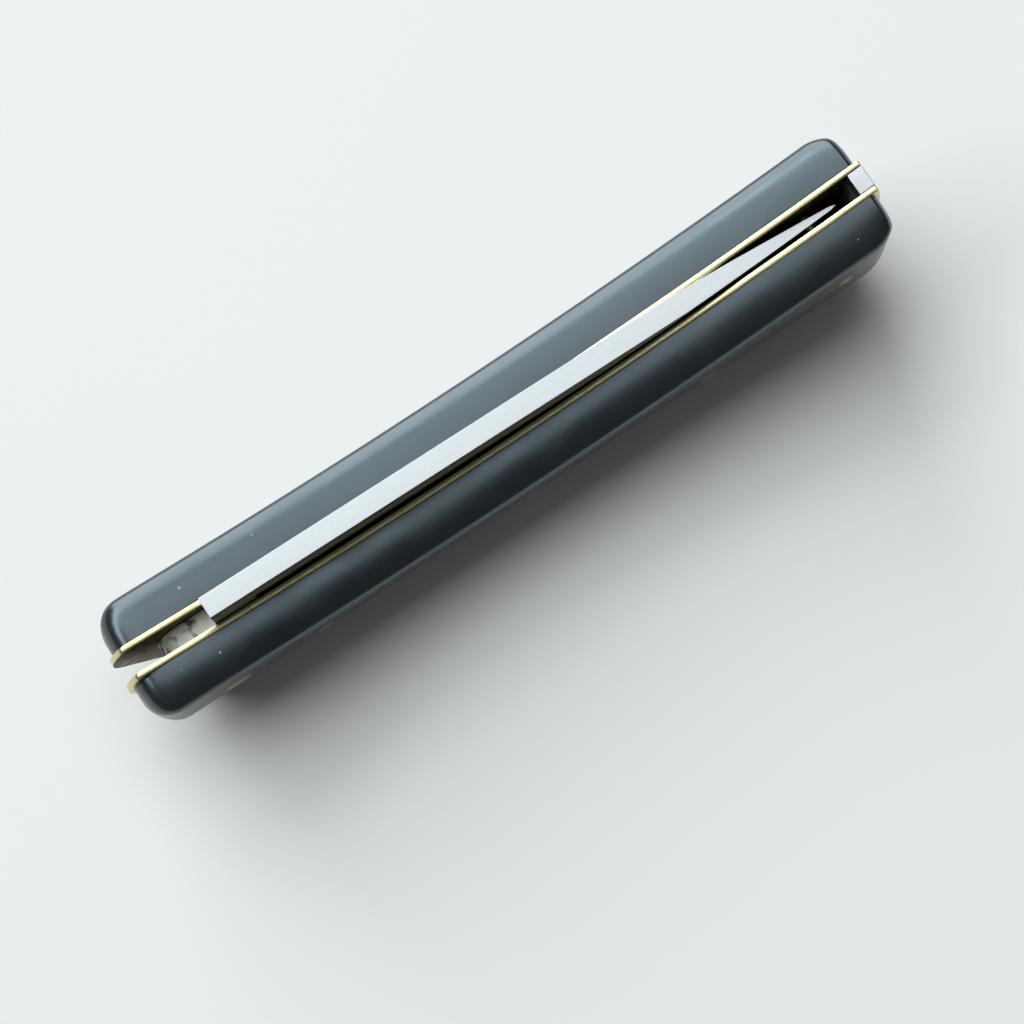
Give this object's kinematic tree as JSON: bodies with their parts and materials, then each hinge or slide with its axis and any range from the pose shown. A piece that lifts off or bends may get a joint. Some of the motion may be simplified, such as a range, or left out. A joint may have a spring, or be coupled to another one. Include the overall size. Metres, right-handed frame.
{
  "type": "pocket knife",
  "caption": "Folding pocket knife with a slip-joint blade, brass liners and smooth black handle scales, closed and standing on its back.",
  "frame": {"origin": "bottom centre of the closed knife's box, on the flat of its back", "axes": "+X from the pivot end towards the butt, +Y to the left side, +Z out of the slot"},
  "size_m": [0.1, 0.0144, 0.024],
  "materials": {
    "scale": "smooth black handle material, satin polished",
    "liner": "filed flush and lightly polished on its edges",
    "spring": "ground flush, bright at the butt",
    "blade": "brushed lengthwise along the spine, worn grey at the tang",
    "pin": "spread and filed flush with the scales"
  },
  "bodies": {
    "handle": {"left_scale": "scale", "right_scale": "scale", "left_liner": "liner", "right_liner": "liner", "backspring": "spring", "pivot_bushing": "pin", "pivot_pin": "pin", "spring_centre_pin": "pin", "spring_rear_pin": "pin", "butt_pin": "pin", "left_front_rivet": "pin", "left_rear_rivet": "pin", "right_front_rivet": "pin", "right_rear_rivet": "pin"},
    "blade": {"blade": "blade"}
  },
  "joints": [
    {"name": "blade_hinge", "type": "hinge", "parent": "handle", "child": "blade", "pos_m": [-0.0395, 0, 0.01185], "axis": [0, -1, 0], "range_deg": [0, 180], "deforming": ["backspring"]}
  ]
}
